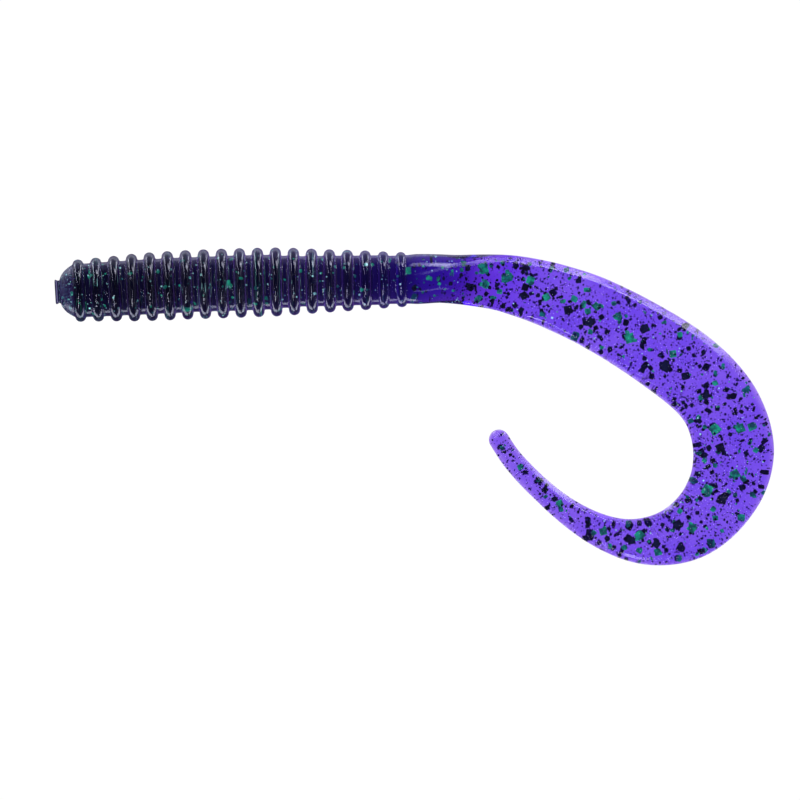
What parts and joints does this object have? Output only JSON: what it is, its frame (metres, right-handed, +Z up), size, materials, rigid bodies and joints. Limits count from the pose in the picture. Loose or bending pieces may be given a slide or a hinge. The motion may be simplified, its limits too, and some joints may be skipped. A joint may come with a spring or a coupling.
{
  "type": "soft plastic fishing worm",
  "caption": "Curl-tail ringed soft plastic fishing worm: round ringed body, smooth neck and a flat curled ribbon tail that bends along its length, with foil flakes cast in.",
  "frame": {"origin": "centre of the flat sprue face at the nose, on the axis of the ringed body", "axes": "+X from the nose back along the ringed body, +Z up as the worm lies on a table, and the tail curls in the XY plane from +X round towards -Y"},
  "size_m": [0.0998, 0.0465, 0.0096],
  "materials": {
    "body_plastisol": "translucent dark indigo plastisol, wet-looking gloss",
    "tail_plastisol": "translucent violet plastisol, wet-looking gloss",
    "green_foil": "emerald metallised film flake",
    "dark_foil": "black metallised film flake"
  },
  "bodies": {
    "nose_section": {"nose_section": "body_plastisol"},
    "ring_section_02": {"ring_section_02": "body_plastisol"},
    "ring_section_03": {"ring_section_03": "body_plastisol"},
    "ring_section_04": {"ring_section_04": "body_plastisol"},
    "ring_section_05": {"ring_section_05": "body_plastisol"},
    "ring_section_06": {"ring_section_06": "body_plastisol"},
    "ring_section_07": {"ring_section_07": "body_plastisol"},
    "ring_section_08": {"ring_section_08": "body_plastisol"},
    "ring_section_09": {"ring_section_09": "body_plastisol"},
    "ring_section_10": {"ring_section_10": "body_plastisol"},
    "ring_section_11": {"ring_section_11": "body_plastisol"},
    "ring_section_12": {"ring_section_12": "body_plastisol"},
    "ring_section_13": {"ring_section_13": "body_plastisol"},
    "ring_section_14": {"ring_section_14": "body_plastisol"},
    "ring_section_15": {"ring_section_15": "body_plastisol"},
    "ring_section_16": {"ring_section_16": "body_plastisol"},
    "ring_section_17": {"ring_section_17": "body_plastisol"},
    "ring_section_18": {"ring_section_18": "body_plastisol"},
    "collar_section": {"collar_section": "body_plastisol"},
    "neck_section": {"neck_section": "body_plastisol"},
    "tail_root_section": {"tail_root_section": "tail_plastisol"},
    "tail_section_01": {"tail_section_01": "tail_plastisol", "green_flake_01": "green_foil", "green_flake_02": "green_foil", "dark_flake_01": "dark_foil"},
    "tail_section_02": {"tail_section_02": "tail_plastisol", "green_flake_03": "green_foil", "dark_flake_02": "dark_foil", "dark_flake_03": "dark_foil"},
    "tail_section_03": {"tail_section_03": "tail_plastisol", "green_flake_04": "green_foil", "green_flake_05": "green_foil", "dark_flake_04": "dark_foil"},
    "tail_section_04": {"tail_section_04": "tail_plastisol", "green_flake_06": "green_foil", "dark_flake_05": "dark_foil"},
    "tail_section_05": {"tail_section_05": "tail_plastisol", "dark_flake_06": "dark_foil"},
    "tail_section_06": {"tail_section_06": "tail_plastisol", "green_flake_07": "green_foil", "green_flake_08": "green_foil", "dark_flake_07": "dark_foil"},
    "tail_section_07": {"tail_section_07": "tail_plastisol", "green_flake_09": "green_foil", "green_flake_10": "green_foil", "dark_flake_08": "dark_foil"},
    "tail_section_08": {"tail_section_08": "tail_plastisol", "green_flake_11": "green_foil", "dark_flake_09": "dark_foil"},
    "tail_section_09": {"tail_section_09": "tail_plastisol", "green_flake_12": "green_foil", "dark_flake_10": "dark_foil", "dark_flake_11": "dark_foil"},
    "tail_section_10": {"tail_section_10": "tail_plastisol", "green_flake_14": "green_foil"},
    "tail_section_11": {"tail_section_11": "tail_plastisol", "green_flake_13": "green_foil", "dark_flake_12": "dark_foil"},
    "tail_tip": {"tail_tip": "tail_plastisol"}
  },
  "joints": [
    {"name": "body_bend_01", "type": "hinge", "parent": "nose_section", "child": "ring_section_02", "pos_m": [0.00462, 0.00011, 0], "axis": [0.0222, -0.9994, 0.0262], "range_deg": [-9, 9], "stiffness_Nm_per_rad": 0.00218},
    {"name": "body_sway_01", "type": "hinge", "parent": "ring_section_02", "child": "ring_section_03", "pos_m": [0.00713, 0.00016, 0], "axis": [0.021, 0.0157, 0.9997], "range_deg": [-9, 9], "stiffness_Nm_per_rad": 0.0031},
    {"name": "body_bend_02", "type": "hinge", "parent": "ring_section_03", "child": "ring_section_04", "pos_m": [0.00963, 0.00021, 0], "axis": [0.0203, -0.9995, 0.0262], "range_deg": [-9, 9], "stiffness_Nm_per_rad": 0.0031},
    {"name": "body_sway_02", "type": "hinge", "parent": "ring_section_04", "child": "ring_section_05", "pos_m": [0.01214, 0.00026, 0], "axis": [0.021, 0.0157, 0.9997], "range_deg": [-9, 9], "stiffness_Nm_per_rad": 0.0031},
    {"name": "body_bend_03", "type": "hinge", "parent": "ring_section_05", "child": "ring_section_06", "pos_m": [0.01464, 0.00031, 0], "axis": [0.0188, -0.9995, 0.0262], "range_deg": [-9, 9], "stiffness_Nm_per_rad": 0.0031},
    {"name": "body_sway_03", "type": "hinge", "parent": "ring_section_06", "child": "ring_section_07", "pos_m": [0.01715, 0.00036, 0], "axis": [0.021, 0.0157, 0.9997], "range_deg": [-9, 9], "stiffness_Nm_per_rad": 0.0031},
    {"name": "body_bend_04", "type": "hinge", "parent": "ring_section_07", "child": "ring_section_08", "pos_m": [0.01966, 0.00038, 0], "axis": [0.0058, -0.9996, 0.0262], "range_deg": [-9, 9], "stiffness_Nm_per_rad": 0.0031},
    {"name": "body_sway_04", "type": "hinge", "parent": "ring_section_08", "child": "ring_section_09", "pos_m": [0.02216, 0.00039, 0], "axis": [0.021, 0.0157, 0.9997], "range_deg": [-9, 9], "stiffness_Nm_per_rad": 0.0031},
    {"name": "body_bend_05", "type": "hinge", "parent": "ring_section_09", "child": "ring_section_10", "pos_m": [0.02467, 0.00038, 0], "axis": [-0.0025, -0.9997, 0.0262], "range_deg": [-9, 9], "stiffness_Nm_per_rad": 0.0031},
    {"name": "body_sway_05", "type": "hinge", "parent": "ring_section_10", "child": "ring_section_11", "pos_m": [0.02717, 0.00038, 0], "axis": [0.021, 0.0157, 0.9997], "range_deg": [-9, 9], "stiffness_Nm_per_rad": 0.0031},
    {"name": "body_bend_06", "type": "hinge", "parent": "ring_section_11", "child": "ring_section_12", "pos_m": [0.02968, 0.00036, 0], "axis": [-0.0079, -0.9996, 0.0262], "range_deg": [-9, 9], "stiffness_Nm_per_rad": 0.0031},
    {"name": "body_sway_06", "type": "hinge", "parent": "ring_section_12", "child": "ring_section_13", "pos_m": [0.03218, 0.00034, 0], "axis": [0.021, 0.0157, 0.9997], "range_deg": [-9, 9], "stiffness_Nm_per_rad": 0.00235},
    {"name": "body_bend_07", "type": "hinge", "parent": "ring_section_13", "child": "ring_section_14", "pos_m": [0.03469, 0.00031, 0], "axis": [-0.0142, -0.9996, 0.0262], "range_deg": [-9, 9], "stiffness_Nm_per_rad": 0.00235},
    {"name": "body_sway_07", "type": "hinge", "parent": "ring_section_14", "child": "ring_section_15", "pos_m": [0.0372, 0.00027, 0], "axis": [0.021, 0.0157, 0.9997], "range_deg": [-9, 9], "stiffness_Nm_per_rad": 0.00235},
    {"name": "body_bend_08", "type": "hinge", "parent": "ring_section_15", "child": "ring_section_16", "pos_m": [0.0397, 0.00022, 0], "axis": [-0.0173, -0.9995, 0.0262], "range_deg": [-9, 9], "stiffness_Nm_per_rad": 0.00235},
    {"name": "body_sway_08", "type": "hinge", "parent": "ring_section_16", "child": "ring_section_17", "pos_m": [0.04221, 0.00018, 0], "axis": [0.021, 0.0157, 0.9997], "range_deg": [-9, 9], "stiffness_Nm_per_rad": 0.00235},
    {"name": "body_bend_09", "type": "hinge", "parent": "ring_section_17", "child": "ring_section_18", "pos_m": [0.04471, 0.00013, 0], "axis": [-0.0178, -0.9995, 0.0262], "range_deg": [-9, 9], "stiffness_Nm_per_rad": 0.00235},
    {"name": "body_sway_09", "type": "hinge", "parent": "ring_section_18", "child": "collar_section", "pos_m": [0.04722, 0.00009, 0], "axis": [0.021, 0.0157, 0.9997], "range_deg": [-9, 9], "stiffness_Nm_per_rad": 0.00153},
    {"name": "neck_sway", "type": "hinge", "parent": "collar_section", "child": "neck_section", "pos_m": [0.05239, 0.00008, -0.00035], "axis": [0.021, 0.0157, 0.9997], "range_deg": [-7, 7], "stiffness_Nm_per_rad": 0.00187},
    {"name": "neck_droop", "type": "hinge", "parent": "neck_section", "child": "tail_root_section", "pos_m": [0.05778, -0.00027, -0.00178], "axis": [-0.0795, -0.9968, 0], "range_deg": [-13, 13], "stiffness_Nm_per_rad": 0.00101},
    {"name": "tail_curl_01", "type": "hinge", "parent": "tail_root_section", "child": "tail_section_01", "pos_m": [0.06353, -0.001, -0.00331], "axis": [0.021, 0.0157, 0.9997], "range_deg": [-6, 16], "stiffness_Nm_per_rad": 0.000818},
    {"name": "tail_wave_01", "type": "hinge", "parent": "tail_section_01", "child": "tail_section_02", "pos_m": [0.07039, -0.00316, -0.00378], "axis": [-0.3774, -0.926, 0], "range_deg": [-22, 22], "stiffness_Nm_per_rad": 0.0000427},
    {"name": "tail_curl_02", "type": "hinge", "parent": "tail_section_02", "child": "tail_section_03", "pos_m": [0.0769, -0.00623, -0.00378], "axis": [0.021, 0.0157, 0.9997], "range_deg": [-6, 16], "stiffness_Nm_per_rad": 0.00118},
    {"name": "tail_wave_02", "type": "hinge", "parent": "tail_section_03", "child": "tail_section_04", "pos_m": [0.08302, -0.01001, -0.00378], "axis": [-0.5604, -0.8282, 0], "range_deg": [-22, 22], "stiffness_Nm_per_rad": 0.0000492},
    {"name": "tail_curl_03", "type": "hinge", "parent": "tail_section_04", "child": "tail_section_05", "pos_m": [0.08874, -0.01438, -0.00378], "axis": [0.021, 0.0157, 0.9997], "range_deg": [-6, 16], "stiffness_Nm_per_rad": 0.00147},
    {"name": "tail_wave_03", "type": "hinge", "parent": "tail_section_05", "child": "tail_section_06", "pos_m": [0.0931, -0.02003, -0.00378], "axis": [-0.9207, -0.3904, 0], "range_deg": [-22, 22], "stiffness_Nm_per_rad": 0.0000511},
    {"name": "tail_curl_04", "type": "hinge", "parent": "tail_section_06", "child": "tail_section_07", "pos_m": [0.09413, -0.02706, -0.00378], "axis": [0.021, 0.0157, 0.9997], "range_deg": [-6, 16], "stiffness_Nm_per_rad": 0.00163},
    {"name": "tail_wave_04", "type": "hinge", "parent": "tail_section_07", "child": "tail_section_08", "pos_m": [0.09104, -0.03347, -0.00379], "axis": [-0.7618, 0.6479, 0], "range_deg": [-22, 22], "stiffness_Nm_per_rad": 0.0000448},
    {"name": "tail_curl_05", "type": "hinge", "parent": "tail_section_08", "child": "tail_section_09", "pos_m": [0.08508, -0.03729, -0.0038], "axis": [0.021, 0.0157, 0.9997], "range_deg": [-6, 16], "stiffness_Nm_per_rad": 0.000596},
    {"name": "tail_wave_05", "type": "hinge", "parent": "tail_section_09", "child": "tail_section_10", "pos_m": [0.07797, -0.03715, -0.00382], "axis": [0.2906, 0.9568, 0], "range_deg": [-22, 22], "stiffness_Nm_per_rad": 0.0000228},
    {"name": "tail_curl_06", "type": "hinge", "parent": "tail_section_10", "child": "tail_section_11", "pos_m": [0.0716, -0.03388, -0.00385], "axis": [0.021, 0.0157, 0.9997], "range_deg": [-6, 16], "stiffness_Nm_per_rad": 0.0000684},
    {"name": "tail_wave_06", "type": "hinge", "parent": "tail_section_11", "child": "tail_tip", "pos_m": [0.06634, -0.02927, -0.00388], "axis": [0.7122, 0.702, 0], "range_deg": [-22, 22], "stiffness_Nm_per_rad": 0.0000101}
  ]
}
